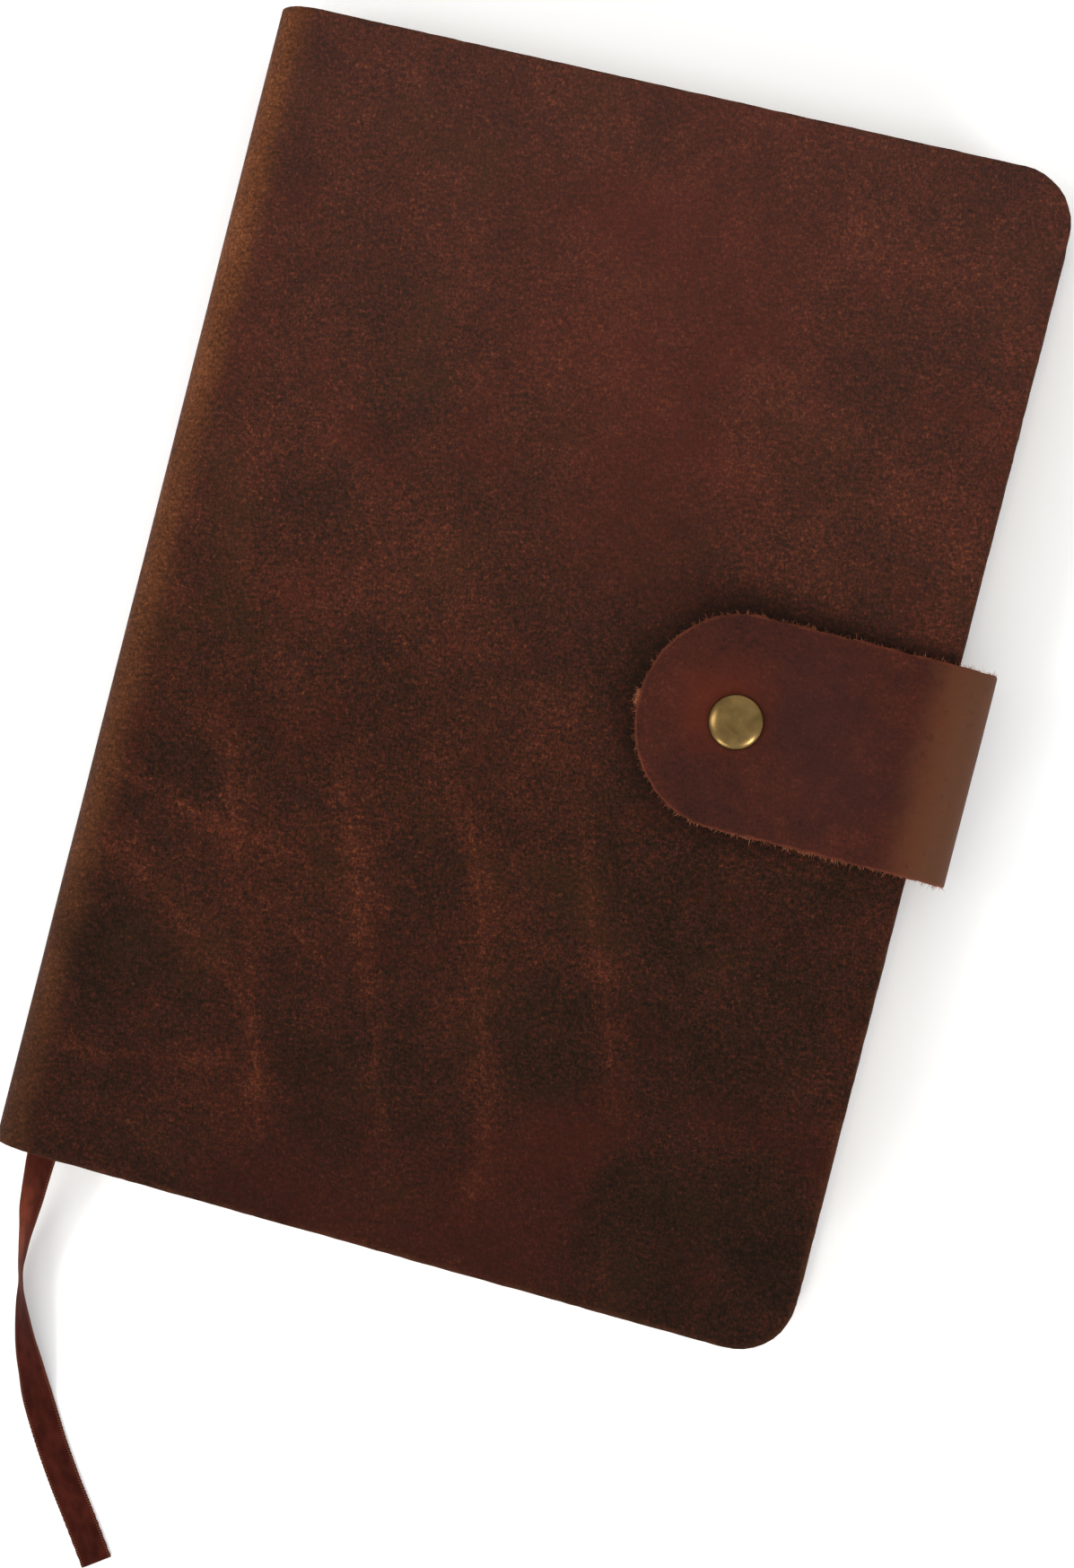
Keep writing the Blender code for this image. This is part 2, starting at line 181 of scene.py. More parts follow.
# --- Node helpers
class Nodes:
    """A short way to write a material's node tree."""

    def __init__(self, name, rough=0.6, **settings):
        self.material = bpy.data.materials.new(name)
        self.material.use_nodes = True
        self.tree = self.material.node_tree
        self.shader = self.tree.nodes["Principled BSDF"]
        self.shader.inputs["Roughness"].default_value = rough
        for key, value in settings.items():
            self.shader.inputs[key.replace("_", " ")].default_value = value

    def plug(self, node, key, value):
        socket = node.inputs[key]
        if isinstance(value, bpy.types.NodeSocket):
            self.tree.links.new(value, socket)
        elif socket.type == "RGBA":
            socket.default_value = (*value, 1)
        else:
            socket.default_value = value

    def add(self, kind, values, **settings):
        """The outputs of a new node with these input values and settings."""
        node = self.tree.nodes.new("ShaderNode" + kind)
        for key, value in settings.items():
            setattr(node, key, value)
        for key, value in values.items():
            self.plug(node, key, value)
        return node.outputs

    def attribute(self, name, output="Fac"):
        return self.add("Attribute", {}, attribute_name=name)[output]

    def place(self, vector=None, scale=(1, 1, 1), turn=(0, 0, 0), offset=(0, 0, 0)):
        if vector is None:
            vector = self.add("TexCoord", {})["Object"]
        return self.add("Mapping", {"Vector": vector, "Scale": scale, "Rotation": turn,
                                    "Location": offset})["Vector"]

    def noise(self, vector, scale, detail=4, rough=0.55, distort=0.0, output="Fac"):
        return self.add("TexNoise", {"Vector": vector, "Scale": scale, "Detail": detail,
                                     "Roughness": rough, "Distortion": distort})[output]

    def cells(self, vector, scale, feature="F1"):
        return self.add("TexVoronoi", {"Vector": vector, "Scale": scale},
                        feature=feature)["Distance"]

    def math(self, kind, *values):
        return self.add("Math", dict(enumerate(values)), operation=kind)[0]

    def vector_math(self, kind, *values):
        return self.add("VectorMath", dict(enumerate(values)), operation=kind)

    def times(self, a, b):
        return self.math("MULTIPLY", a, b)

    def plus(self, a, b):
        return self.math("ADD", a, b)

    def minus(self, a, b):
        return self.math("SUBTRACT", a, b)

    def madd(self, a, b, c):
        """a times b, plus c."""
        return self.math("MULTIPLY_ADD", a, b, c)

    def wave(self, value, pitch):
        return self.math("SINE", self.times(value, math.tau / pitch))

    def ramp(self, value, low, high, to_low=0.0, to_high=1.0, kind="SMOOTHSTEP"):
        return self.add("MapRange", {"Value": value, "From Min": low, "From Max": high,
                                     "To Min": to_low, "To Max": to_high},
                        interpolation_type=kind)["Result"]

    def mix(self, share, a, b):
        return self.add("Mix", {0: share, 6: a, 7: b}, data_type="RGBA")[2]

    def split(self, vector):
        return self.add("SeparateXYZ", {0: vector})

    def bump(self, height, strength, distance):
        return self.add("Bump", {"Strength": strength, "Distance": distance,
                                 "Height": height})["Normal"]

    def finish(self, color, rough=None, normal=None):
        for key, value in (("Base Color", color), ("Roughness", rough), ("Normal", normal)):
            if value is not None:
                self.plug(self.shader, key, value)
        return self.material


def rgb(red, green, blue):
    """A linear colour from its sRGB values out of 255."""
    def one(value):
        value /= 255
        return value / 12.92 if value <= 0.04045 else ((value + 0.055) / 1.055) ** 2.4
    return one(red), one(green), one(blue)


# --- Hide pieces
def edge_fractions(count):
    """Places from -1 to 1, closer together towards both ends."""
    even = [2 * i / (count - 1) - 1 for i in range(count)]
    return [0.75 * t + 0.25 * math.sin(t * math.pi / 2) for t in even]


def ripple(s, y, seed):
    """Slow unevenness of a hide, from about -1 to 1."""
    return noise.fractal(Vector((s * 32, y * 32, seed)), 1.0, 2.0, 3)


def hide_piece(name, columns, path, thickness, material, across, seed, edge=0.00035,
               wander=0.00008, wave=0.00006, open_end=False, sign=1):
    """A closed piece of leather. columns are (s, half width) from its first end, where it
    meets another piece, to its cut end. path(s) gives a point on the grain side and the way
    out of it. With open_end, both ends meet other pieces. sign is -1 where s runs against
    the hide's own length, which is what is stored and what the unevenness follows."""
    count = len(columns)
    outline = [Vector((s, half)) for s, half in columns]
    normals = []
    for i, here in enumerate(outline):
        before, after = outline[max(i - 1, 0)], outline[min(i + 1, count - 1)]
        along = (after - before).normalized()
        if i == count - 1 and not open_end:
            along = ((here - before).normalized() + Vector((0, -1))).normalized()
        normals.append(Vector((-along.y, along.x)))
    inner = [p - n * edge for p, n in zip(outline, normals)]
    spots = edge_fractions(across)
    verts, hide, rim, side, flesh = [], [], [], [], []

    def add(s, y, depth, lift, margin, cut):
        x, z, nx, nz = path(s)
        out = lift - depth
        verts.append((x + nx * out, y, z + nz * out))
        hide.append((sign * s, y, depth))
        rim.append(margin)
        side.append(cut)
        flesh.append(1.0 if depth > thickness - edge else 0.0)
        return len(verts) - 1

    end_s = columns[-1][0]
    sheets = []
    for depth in (0.0, thickness):
        rows = []
        for (s_in, half_in), (s, half) in zip(inner, columns):
            row = []
            for t in spots:
                y = t * half_in
                margin = half - abs(y)
                if not open_end:
                    margin = min(margin, end_s - s_in)
                fade = min(1.0, margin / 0.004)
                lift = wave * ripple(sign * s_in, y, seed) * fade if depth == 0.0 else 0.0
                row.append(add(s_in, y, depth, lift, margin, 0.0))
            rows.append(row)
        sheets.append(rows)
    loop = [(inner[i], Vector((normals[i].x, -normals[i].y)), -1, i, 0) for i in range(count)]
    if not open_end:
        last = count - 1
        loop += [(Vector((inner[last].x, t * inner[last].y)), Vector((1, 0)), 0, last, k)
                 for k, t in list(enumerate(spots))[1:-1]]
    loop += [(inner[i], normals[i], 1, i, across - 1) for i in range(count - 1, -1, -1)]
    rings = []
    turns = [math.pi / 2 * k / 3 for k in (1, 2, 3)]
    stages = [(math.sin(a), edge * (1 - math.cos(a))) for a in turns]
    stages += [(1.0, edge + (thickness - 2 * edge) * k / 2) for k in (1, 2)]
    stages += [(math.sin(a), thickness - edge * (1 - math.cos(a))) for a in turns[1::-1]]
    for point, normal, half_sign, i, k in loop:
        base = Vector((point.x, point.y * (half_sign or 1)))
        place = Vector((base.x * sign, base.y, 0))
        rough = wander * noise.fractal(place * 260 + Vector((0, 0, seed + 5)), 1.0, 2.0, 4)
        ring = []
        for out, depth in stages:
            fray = wander * 0.8 * noise.noise(place * 1500
                                              + Vector((0, 0, depth * 2500 + seed)))
            spot = base + normal * (edge * out + (rough + fray) * out)
            cut = min(1.0, depth / edge) if depth < thickness / 2 else 1.0
            ring.append(add(spot.x, spot.y, depth, 0.0, 0.0, cut))
        rings.append((sheets[0][i][k], ring, sheets[1][i][k]))
    faces = []
    for rows, flip in ((sheets[0], False), (sheets[1], True)):
        for a, b in zip(rows, rows[1:]):
            for k in range(across - 1):
                face = (a[k], b[k], b[k + 1], a[k + 1])
                faces.append(face[::-1] if flip else face)
    strings = [(top, *ring, low) for top, ring, low in rings]
    for i, (a, b) in enumerate(zip(strings, strings[1:])):
        if open_end and i == count - 1:
            continue                    # the far end's own faces close the piece here
        faces += [(a[k], a[k + 1], b[k + 1], b[k]) for k in range(len(a) - 1)]
    for i, far in [(0, False), (count - 1, True)][:2 if open_end else 1]:
        top, low = sheets[0][i], sheets[1][i]
        for k in range(across - 1):
            face = (top[k], top[k + 1], low[k + 1], low[k])
            faces.append(face[::-1] if far else face)
        first, final = (strings[i], strings[count]) if far else (strings[0], strings[-1])
        faces.append(first if far else first[::-1])
        faces.append(final[::-1] if far else final)
    item = mesh_object(name, verts, faces, material)
    sharpen(item, 50)
    add_vectors(item, "hide", hide)
    add_numbers(item, rim=rim, side=side, flesh=flesh)
    return item


def round_corner_columns(starts, end, half, radius, steps=9):
    """Columns over the straight part, then round a corner of that radius to the end."""
    made = [(s, half) for s in starts]
    for k in range(1, steps + 1):
        a = math.pi / 2 * k / steps
        made.append((end - radius + radius * math.sin(a), half - radius + radius * math.cos(a)))
    return made


def spaced(start, end, step, include_end=True):
    count = max(1, round(abs(end - start) / step))
    stop = count + 1 if include_end else count
    return [start + (end - start) * i / count for i in range(stop)]


# --- The hide that makes both covers and the spine
SPINE_ARC = math.pi * MIDDLE
BACK_START = ROUND_X - SPINE_ARC      # where the back cover begins, in hide lengths
BACK_END = BACK_START - (FORE_X - ROUND_X)


def hide_path(s):
    """Front cover, round the spine and along the back cover as s falls from FORE_X."""
    if s >= ROUND_X:
        return s, THICKNESS, 0.0, 1.0
    if s <= BACK_START:
        return ROUND_X + (BACK_START - s), 0.0, 0.0, -1.0
    a = (ROUND_X - s) / MIDDLE
    nx, nz = -math.sin(a), math.cos(a)
    return ROUND_X + MIDDLE * nx, MIDDLE + MIDDLE * nz, nx, nz


def back_path(s):
    """hide_path run from the spine to the back cover's fore-edge as s rises."""
    return hide_path(-s)


def spine_s(degrees_from_front):
    return ROUND_X - math.radians(degrees_from_front) * MIDDLE


def make_hide(material):
    """Both covers and the spine, and gives back the front cover's piece."""
    step, arc_step = 0.0016, 0.0008
    upper, lower = spine_s(60), spine_s(120)
    settings = (LEATHER, material, 140, 3.0)
    columns = round_corner_columns(
        spaced(upper, ROUND_X, arc_step, False) + spaced(ROUND_X, FORE_X - CORNER, step),
        FORE_X, HALF_Y, CORNER)
    front = hide_piece("front_cover_hide", columns, hide_path, *settings)
    columns = [(s, HALF_Y) for s in spaced(lower, upper, arc_step)]
    spine = hide_piece("spine_hide", columns, hide_path, *settings, open_end=True)
    columns = round_corner_columns(
        spaced(-lower, -BACK_START, arc_step, False)
        + spaced(-BACK_START, -BACK_END - CORNER, step),
        -BACK_END, HALF_Y, CORNER)
    back = hide_piece("back_cover_hide", columns, back_path, *settings, sign=-1)
    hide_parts("front_cover_leather", "spine_leather_4")
    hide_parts("spine_leather_2", "spine_leather_3")
    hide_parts("back_cover_leather", "spine_leather_1")
    for item, low_body, high_body, start, end in (
            (front, "spine_2", "front_cover", 55, 2), (spine, "spine_1", "spine_2", 118, 62),
            (back, "back", "spine_1", 178, 125)):
        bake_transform(item)
    return front


# --- Strap
STRAP = 0.0018
STRAP_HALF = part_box("strap_flap")[1].y
STRAP_BEND = 0.0065                   # bend radius at the middle of the leather
FLAP_SLOPE = math.radians(4.2)
TIP_X = FORE_X - 0.0542
SNAP_X = FORE_X - 0.0363
SNAP_Z = THICKNESS + 0.0031           # the flap's flesh side at the snap
BEND_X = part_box("strap_wrap")[1].x - STRAP / 2 - STRAP_BEND
TAIL_START = tail_low.x
TAIL_Z = tail_low.z
LOW_BEND_Z = TAIL_Z + STRAP / 2 + STRAP_BEND
HIGH_BEND_Z = (SNAP_Z + STRAP / 2 / math.cos(FLAP_SLOPE) - STRAP_BEND * math.cos(FLAP_SLOPE)
               - math.tan(FLAP_SLOPE) * (BEND_X + STRAP_BEND * math.sin(FLAP_SLOPE) - SNAP_X))
OUTER_BEND = STRAP_BEND + STRAP / 2
TAIL_RUN = BEND_X - TAIL_START
LOW_ARC = OUTER_BEND * math.pi / 2
WALL_RUN = HIGH_BEND_Z - LOW_BEND_Z
HIGH_ARC = OUTER_BEND * (math.pi / 2 - FLAP_SLOPE)
FLAP_RUN = (BEND_X + OUTER_BEND * math.sin(FLAP_SLOPE) - TIP_X) / math.cos(FLAP_SLOPE)
STRAP_RUN = TAIL_RUN + LOW_ARC + WALL_RUN + HIGH_ARC + FLAP_RUN
WALL_MIDDLE = TAIL_RUN + LOW_ARC + WALL_RUN / 2
TIP_DEPTH = 0.0180


def strap_path(s):
    """The strap's grain side, from its glued tail round the fore-edge to its tip."""
    if s <= TAIL_RUN:
        return TAIL_START + s, TAIL_Z, 0.0, -1.0
    s -= TAIL_RUN
    if s <= LOW_ARC:
        a = s / OUTER_BEND - math.pi / 2
        nx, nz = math.cos(a), math.sin(a)
        return BEND_X + OUTER_BEND * nx, LOW_BEND_Z + OUTER_BEND * nz, nx, nz
    s -= LOW_ARC
    if s <= WALL_RUN:
        return BEND_X + OUTER_BEND, LOW_BEND_Z + s, 1.0, 0.0
    s -= WALL_RUN
    a = min(s / OUTER_BEND, math.pi / 2 - FLAP_SLOPE)
    nx, nz = math.cos(a), math.sin(a)
    x, z = BEND_X + OUTER_BEND * nx, HIGH_BEND_Z + OUTER_BEND * nz
    s -= HIGH_ARC
    if s > 0:
        x -= s * math.cos(FLAP_SLOPE)
        z += s * math.sin(FLAP_SLOPE)
    return x, z, nx, nz


def blend_flap(item):
    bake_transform(item)


def make_strap(material):
    """The strap in two pieces that meet at its wall's middle. Gives back the upper one."""
    lower = [(-s, STRAP_HALF) for s in spaced(WALL_MIDDLE, 0.0, 0.0006)]
    tail = hide_piece("strap_lower", lower, lambda s: strap_path(-s), STRAP, material, 48,
                      11.0, edge=0.00028, wander=0.00024, wave=0.00002, sign=-1)
    columns = [(s, STRAP_HALF) for s in spaced(WALL_MIDDLE, STRAP_RUN - TIP_DEPTH, 0.0006)]
    for k in range(1, 33):
        a = math.radians(86.5) * k / 32
        columns.append((STRAP_RUN - TIP_DEPTH + TIP_DEPTH * math.sin(a),
                        STRAP_HALF * math.cos(a)))
    flap = hide_piece("strap_upper", columns, strap_path, STRAP, material, 64, 11.0,
                      edge=0.00028, wander=0.00024, wave=0.00007)
    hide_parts("strap_tail")
    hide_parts("strap_flap", "strap_wrap")
    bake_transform(tail)
    blend_flap(flap)
    return flap


# --- Loose fibres on the raw edges
def strand(verts, faces, root, way, length, radius, curl):
    """A thin tapered fibre with three sides."""
    way = way.normalized()
    across = way.cross(Vector((0.3, 0.2, 1))).normalized()
    other = way.cross(across)
    first = len(verts)
    steps = 3
    for k in range(steps):
        t = k / steps
        here = root + way * (length * t) + curl * (length * t * t)
        thick = radius * (1 - 0.6 * t)
        for m in range(3):
            a = math.tau * m / 3
            verts.append(here + (across * math.cos(a) + other * math.sin(a)) * thick)
    verts.append(root + way * length + curl * length)
    faces.append((first + 2, first + 1, first))
    for k in range(steps - 1):
        a, b = first + 3 * k, first + 3 * k + 3
        for m in range(3):
            n = (m + 1) % 3
            faces.append((a + m, a + n, b + n, b + m))
    top = first + 3 * (steps - 1)
    for m in range(3):
        faces.append((top + m, top + (m + 1) % 3, first + 3 * steps))


def scatter(draw, reach):
    return Vector([draw.uniform(-reach, reach) for _ in range(3)])


def edge_fibres(name, piece, count, material, seed, keep, longest, radius):
    """Fibres that stand out of a piece's cut side, where keep(point) allows."""
    draw = random.Random(seed)
    mesh = piece.data
    side = mesh.attributes["side"].data
    spots = []
    for face in mesh.polygons:
        if all(side[v].value > 0.9 for v in face.vertices) and keep(face.center):
            spots.append((face.center.copy(), face.normal.copy()))
    verts, faces = [], []
    for _ in range(count):
        centre, normal = draw.choice(spots)
        shift = scatter(draw, 0.0004)
        shift -= normal * shift.dot(normal)
        way = normal + 0.9 * scatter(draw, 1)
        if way.dot(normal) < 0.15:
            way += normal
        length = longest * draw.uniform(0.15, 1.0) ** 1.6
        curl = 0.5 * scatter(draw, 1)
        strand(verts, faces, centre + shift - normal * 0.00008, way, length,
               radius * draw.uniform(0.6, 1.3), curl)
    return mesh_object(name, verts, faces, material)


# --- Snap fastener
SNAP_TURN = Matrix.Translation((SNAP_X, 0, SNAP_Z)) @ Matrix.Rotation(FLAP_SLOPE, 4, "Y")
STUD_TURN = Matrix.Translation((SNAP_X, 0, THICKNESS))


def turned(name, profile, place, material, dent=0.0):
    """A turned piece from a (radius, height) profile that starts and ends on the axis or
    closes on itself."""
    verts, rows, segments = [], [], 96
    for radius, height in profile:
        if radius < 1e-9:
            verts.append(Vector((0, 0, height)))
            rows.append([len(verts) - 1] * segments)
            continue
        row = []
        for k in range(segments):
            a = math.tau * k / segments
            spot = Vector((radius * math.cos(a), radius * math.sin(a), height))
            if dent:
                spot.z += dent * noise.noise(spot * 900)
            verts.append(spot)
            row.append(len(verts) - 1)
        rows.append(row)
    if profile[0][0] > 1e-9:
        rows.append(rows[0])
    faces = []
    for a, b in zip(rows, rows[1:]):
        for k in range(segments):
            n = (k + 1) % segments
            face = []
            for v in (a[k], b[k], b[n], a[n]):
                if v not in face:
                    face.append(v)
            if len(face) > 2:
                faces.append(tuple(face))
    item = mesh_object(name, verts, faces, material)
    sharpen(item, 35)
    item.matrix_world = place
    return item


def fillet(points, radius):
    """The profile with its corners rounded, apart from its two ends."""
    made = [points[0]]
    for a, b, c in zip(points, points[1:], points[2:]):
        a, b, c = Vector(a), Vector(b), Vector(c)
        into, out = a - b, c - b
        r = min(radius, into.length * 0.45, out.length * 0.45)
        start, end = b + into.normalized() * r, b + out.normalized() * r
        for t in (0, 0.25, 0.5, 0.75, 1):
            made.append(tuple((1 - t) ** 2 * start + 2 * t * (1 - t) * b + t * t * end))
    return [*made, points[-1]]


def make_snap(brass, steel):
    """All its profiles are (radius, height), from the flap's flesh side or the cover's top."""
    seat, radius, rise = STRAP + 0.00002, 0.00508, 0.00175
    lip, stem, socket_top, mouth = seat + 0.00022, 0.0014, -0.00005, -0.0020
    crown = []
    for k in range(39):
        t = math.sin(math.pi / 2 * k / 39)
        lift = (1 - t ** 5) ** 0.55 * 0.66 + (1 - t * t) * 0.34
        crown.append((radius * t, lip + (rise - 0.00022) * lift))
    under = fillet([(radius, lip), (radius, seat + 0.00002), (0.0042, seat), (stem, seat),
                    (stem, -0.0006), (0.0, -0.0006)], 0.0001)
    cap = turned("snap_cap_brass", crown + under, SNAP_TURN, brass, dent=0.00001)
    rim = fillet([(0.0041, socket_top), (0.0043, socket_top - 0.0003), (0.0043, mouth + 0.0004),
                  (0.0040, mouth), (0.0031, mouth), (0.0031, mouth + 0.0003),
                  (0.00288, mouth + 0.0005), (0.0030, -0.0010), (0.0028, -0.0009),
                  (0.0017, -0.0009), (0.0017, socket_top), (0.0030, socket_top)], 0.00014)
    socket = turned("snap_socket_brass", rim, SNAP_TURN, brass)
    spring = make_spring(steel)
    stud = turned("snap_stud_brass", fillet(
        [(0.0, 0.00195), (0.0008, 0.00193), (0.0017, 0.00175), (0.0020, 0.00145),
         (0.00178, 0.00112), (0.00175, 0.00055), (0.0034, 0.00048), (0.0039, 0.00034),
         (0.0039, 0.00005), (0.0014, 0.00005), (0.0014, 0.0013), (0.0, 0.0013)], 0.00016),
        STUD_TURN, brass)
    flange = -LEATHER - 0.00005
    post = turned("snap_post_brass", fillet(
        [(0.0, 0.0010), (0.0011, 0.0010), (0.0011, flange), (0.0036, flange),
         (0.0036, flange - 0.0004), (0.0, flange - 0.00042)], 0.00014), STUD_TURN, brass)
    for item, node in ((cap, "snap_cap"), (socket, "snap_socket")):
        attach(item, "strap_end", "brass", node)
    attach(spring, "strap_end", "steel", "snap_ring_spring")
    for item, node in ((stud, "snap_stud"), (post, "snap_post")):
        attach(item, "front_cover", "brass", node)


def make_spring(material):
    """A slightly oval split ring of wire."""
    verts, faces, rows = [], [], []
    sides, steps, wire = 10, 72, 0.0002
    for k in range(steps + 1):
        a = math.radians(14) + (math.tau - math.radians(28)) * k / steps
        bend = 0.0026 - 0.00012 * math.cos(2 * a)
        centre = Vector((bend * math.cos(a), bend * math.sin(a), -0.0015))
        out = Vector((math.cos(a), math.sin(a), 0))
        row = []
        for m in range(sides):
            b = math.tau * m / sides
            verts.append(centre + wire * (out * math.cos(b) + Vector((0, 0, math.sin(b)))))
            row.append(len(verts) - 1)
        rows.append(row)
    for a, b in zip(rows, rows[1:]):
        for m in range(sides):
            n = (m + 1) % sides
            faces.append((a[m], b[m], b[n], a[n]))
    faces.append(tuple(rows[0]))
    faces.append(tuple(rows[-1][::-1]))
    item = mesh_object("snap_spring_wire", verts, faces, material)
    sharpen(item, 60, outward=False)
    item.matrix_world = SNAP_TURN
    return item


# --- Ribbon marker
def ribbon_mesh(name, node, points, width, thick, material, across):
    """A satin ribbon along points of (place, side vector, up vector), with woven edges,
    and its length."""
    verts, faces, rows, weave = [], [], [], []
    spots = [math.sin(math.pi / 2 * (2 * k / (across - 1) - 1)) for k in range(across)]
    run, before = 0.0, None
    for place, side, up in points:
        run += (place - before).length if before is not None else 0.0
        before = place
        row = []
        scallop = 0.00005 * math.sin(math.tau * run / PICOT)
        for sign in (1, -1):
            for t in (spots if sign == 1 else spots[::-1]):
                edge = abs(t) ** 14
                y = t * (width / 2 + scallop * edge)
                swell = 1 + 0.55 * math.exp(-((abs(t) - 0.94) / 0.05) ** 2) - 0.85 * edge
                verts.append(place + side * y + up * (sign * thick / 2 * swell))
                weave.append((t, run, sign))
                row.append(len(verts) - 1)
        rows.append(row)
    for a, b in zip(rows, rows[1:]):
        for m in range(len(a)):
            n = (m + 1) % len(a)
            faces.append((a[m], a[n], b[n], b[m]))
    faces.append(tuple(rows[0][::-1]))
    faces.append(tuple(rows[-1]))
    item = mesh_object(name, verts, faces, material)
    sharpen(item, 70)
    add_vectors(item, "weave", weave)
    attach(item, "back", "satin", node)
    return item, run


def ribbon_stations(points):
    """Place, side and up at each point of a smoothed route that also gives a lift."""
    made = []
    for i, (x, y, z, lift) in enumerate(points):
        a, b = points[max(i - 1, 0)], points[min(i + 1, len(points) - 1)]
        along = Vector((b[0] - a[0], b[1] - a[1], b[2] - a[2])).normalized()
        level = Vector((0, 0, 1)).cross(along).normalized()
        up = along.cross(level)
        turn = math.radians(lift)
        made.append((Vector((x, y, z)), level * math.cos(turn) + up * math.sin(turn),
                     up * math.cos(turn) - level * math.sin(turn)))
    return made


def make_marker(material):
    route = [(SPINE_X + x, y, z, lift) for x, y, z, lift in MARKER_ROUTE]
    tail, length = ribbon_mesh("ribbon_tail", "ribbon_marker_tail",
                               ribbon_stations(smooth(route, 24)), MARKER_WIDTH,
                               MARKER_SATIN, material, 15)
    low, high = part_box("ribbon_marker_inner")
    x = (low.x + high.x) / 2
    inner = [(Vector((x + 0.0002 * math.sin(90 * y), y, MIDDLE)), Vector((1, 0, 0)),
              Vector((0, 0, 1))) for y in spaced(low.y, high.y, 0.0008)]
    ribbon_mesh("ribbon_inner", "ribbon_marker_inner", inner, MARKER_WIDTH - 0.0001, 0.00014,
                material, 9)


# --- Page block
PAGE_FORE = page_high.x
PAGE_BACK = page_low.x
PAGE_HALF = page_high.y
PAGE_CORNER = 0.0063
SHEETS = 8                            # in each signature


def leaf_columns(start, end, half):
    return round_corner_columns(spaced(start, end - PAGE_CORNER, 0.03), end, half,
                                PAGE_CORNER, 6)


def sheet_shell(verts, faces, stations, thick):
    """A thin closed sheet through stations of (x, z, nx, nz, half)."""
    first = len(verts)
    for x, z, nx, nz, half in stations:
        for sign in (1, -1):
            for y in (half, -half):
                verts.append((x + nx * sign * thick / 2, y, z + nz * sign * thick / 2))
    count = len(stations)
    for i in range(count - 1):
        a, b = first + 4 * i, first + 4 * i + 4
        faces += [(a, a + 1, b + 1, b), (a + 2, b + 2, b + 3, a + 3), (a, b, b + 2, a + 2),
                  (a + 1, a + 3, b + 3, b + 1)]
    last = first + 4 * (count - 1)
    faces += [(first, first + 2, first + 3, first + 1), (last, last + 1, last + 3, last + 2)]


def folded_sheets(node, body, material, draw):
    """A signature: sheets folded round each other, their cut edges a little uneven."""
    low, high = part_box(node)
    verts, faces = [], []
    pitch = (high.z - low.z) / (2 * SHEETS)
    centre = (low.z + high.z) / 2
    for k in range(SHEETS):
        radius = pitch * (k + 0.5)
        fold_x = PAGE_BACK + pitch * SHEETS
        jog = draw.uniform(-0.00012, 0.00006)
        half = PAGE_HALF + draw.uniform(-0.00010, 0.00003)
        upper = leaf_columns(fold_x, PAGE_FORE + jog - 0.00001 * (SHEETS - k), half)
        top = [(x, centre + radius, 0, 1, h) for x, h in upper[::-1]]
        bend = []
        for m in range(1, 6):
            a = math.pi / 2 + math.pi * m / 6
            bend.append((fold_x + radius * math.cos(a), centre + radius * math.sin(a),
                         math.cos(a), math.sin(a), half))
        low_side = [(x, centre - radius, 0, -1, h) for x, h in upper]
        sheet_shell(verts, faces, top + bend + low_side, pitch * 0.86)
    item = mesh_object(f"{node}_sheets", verts, faces, material, smooth_shade=False)
    attach(item, body, "paper", node)


def flat_leaf(node, body, material):
    low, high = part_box(node)
    verts, faces = [], []
    z, thick = (low.z + high.z) / 2, (high.z - low.z) * 0.7
    sheet_shell(verts, faces, [(x, z, 0, 1, h) for x, h in
                               leaf_columns(low.x, high.x, high.y)], thick)
    item = mesh_object(f"{node}_sheet", verts, faces, material, smooth_shade=False)
    attach(item, body, "endpaper", node)


def centre_spread(material):
    """The sheet that lies open on both sides of the gutter."""
    gap, inset, back = 0.00017, 0.0001, PAGE_BACK + 0.004
    half = PAGE_HALF - inset
    right = leaf_columns(back, PAGE_FORE - inset, half)
    turn = []
    for k in range(1, 12):
        a = math.pi / 2 * k / 12
        turn.append((GUTTER_X + (back - GUTTER_X) * (1 - math.cos(a)), gap * math.sin(a)))
    verts, faces = [], []
    sheet_shell(verts, faces, [(x, MIDDLE + gap, 0, 1, h) for x, h in right[::-1]]
                + [(x, MIDDLE + z, 0, 1, half) for x, z in turn[::-1]]
                + [(GUTTER_X, MIDDLE, -1, 0, half)]
                + [(x, MIDDLE - z, 0, -1, half) for x, z in turn]
                + [(x, MIDDLE - gap, 0, -1, h) for x, h in right], 0.00009)
    spread = mesh_object("centre_spread", verts, faces, material)
    sharpen(spread, 40, outward=False)
    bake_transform(spread)


def make_block(paper, endpaper):
    draw = random.Random(41)
    for number in range(1, 7):
        folded_sheets(f"signature_{number}", "front_pages" if number < 4 else "back", paper, draw)
    for node, body in (("front_flyleaf", "front_pages"), ("front_pastedown", "front_cover"),
                       ("back_flyleaf", "back"), ("back_pastedown", "back")):
        flat_leaf(node, body, endpaper)
    centre_spread(paper)


# --- Materials
def crease(n, run, gap_from, curve, width, low, high):
    """A soft line, from 0 to 1, where gap_from follows curve(run) between run = low and
    high. The curve is (value at the middle, slope, bow, middle)."""
    offset, slope, bow, middle = curve
    away = n.minus(run, middle)
    at = n.madd(away, slope, offset)
    at = n.madd(n.times(away, away), bow, at)
    gap = n.math("ABSOLUTE", n.minus(gap_from, at))
    core = n.ramp(gap, 0.0, width * 0.45)
    glow = n.ramp(gap, 0.0, width * 2.6)
    line = n.madd(core, -0.4, n.madd(glow, -0.6, 1.0))
    return n.times(line, n.times(n.ramp(run, low, low + 0.012), n.ramp(run, high, high - 0.012)))


